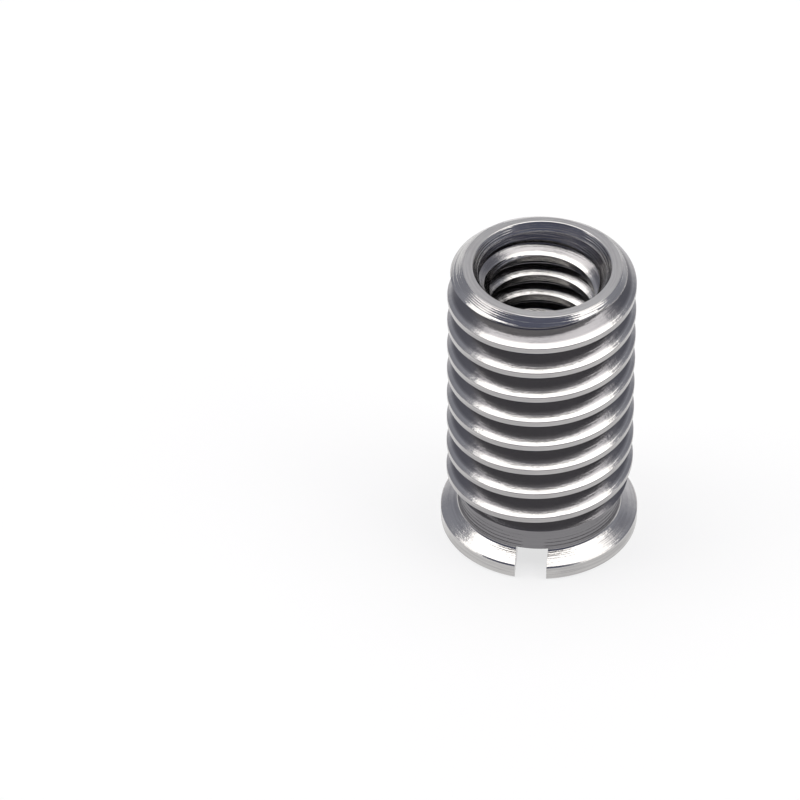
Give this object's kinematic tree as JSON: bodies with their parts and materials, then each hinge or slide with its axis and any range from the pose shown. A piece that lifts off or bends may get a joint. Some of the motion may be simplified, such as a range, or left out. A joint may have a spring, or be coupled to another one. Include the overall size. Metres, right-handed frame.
{
  "type": "thread adapter",
  "caption": "Stainless sleeve that turns a 3/8-16 socket into a 1/4-20 one: threaded outside and in, with a slotted flange at its foot.",
  "frame": {"origin": "on the axis, in the plane of the flange's face, which the part stands on", "axes": "+Z along the axis, from the flange towards the open threaded end; the driver slot runs along Y"},
  "size_m": [0.01, 0.0098, 0.0164],
  "materials": {
    "steel": "turned and thread-cut stainless steel, bright flanks with fine tool rings, satin faces"
  },
  "bodies": {
    "root": {"adapter": "steel"}
  },
  "joints": []
}
